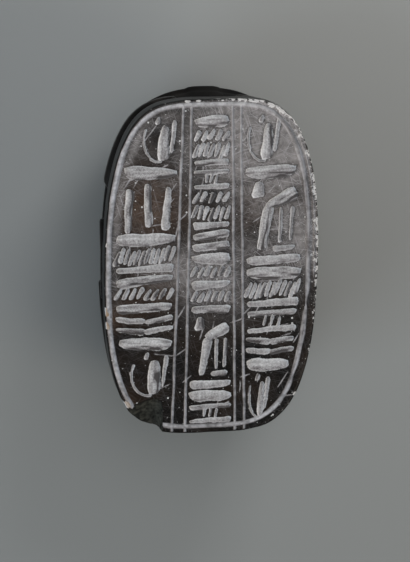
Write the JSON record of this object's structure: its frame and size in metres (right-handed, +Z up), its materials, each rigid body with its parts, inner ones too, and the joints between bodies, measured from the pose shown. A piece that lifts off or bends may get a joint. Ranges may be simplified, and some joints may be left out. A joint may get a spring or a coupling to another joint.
{
  "type": "carved stone scarab",
  "caption": "Oval stone scarab lying on its domed back, the flat base up, with ruled columns of shallow strokes and a broken corner.",
  "frame": {"origin": "under the middle of the stone, at the level of the small flat of the beetle's back that it lies on", "axes": "+Z up, out of the inscribed face; +Y along the length towards the beetle's head; +X across the base"},
  "size_m": [0.0446, 0.071, 0.025],
  "materials": {
    "black_steatite": "rubbed smooth, waxy on the sides, with pale cut strokes"
  },
  "bodies": {
    "root": {"scarab": "black_steatite"}
  },
  "joints": []
}
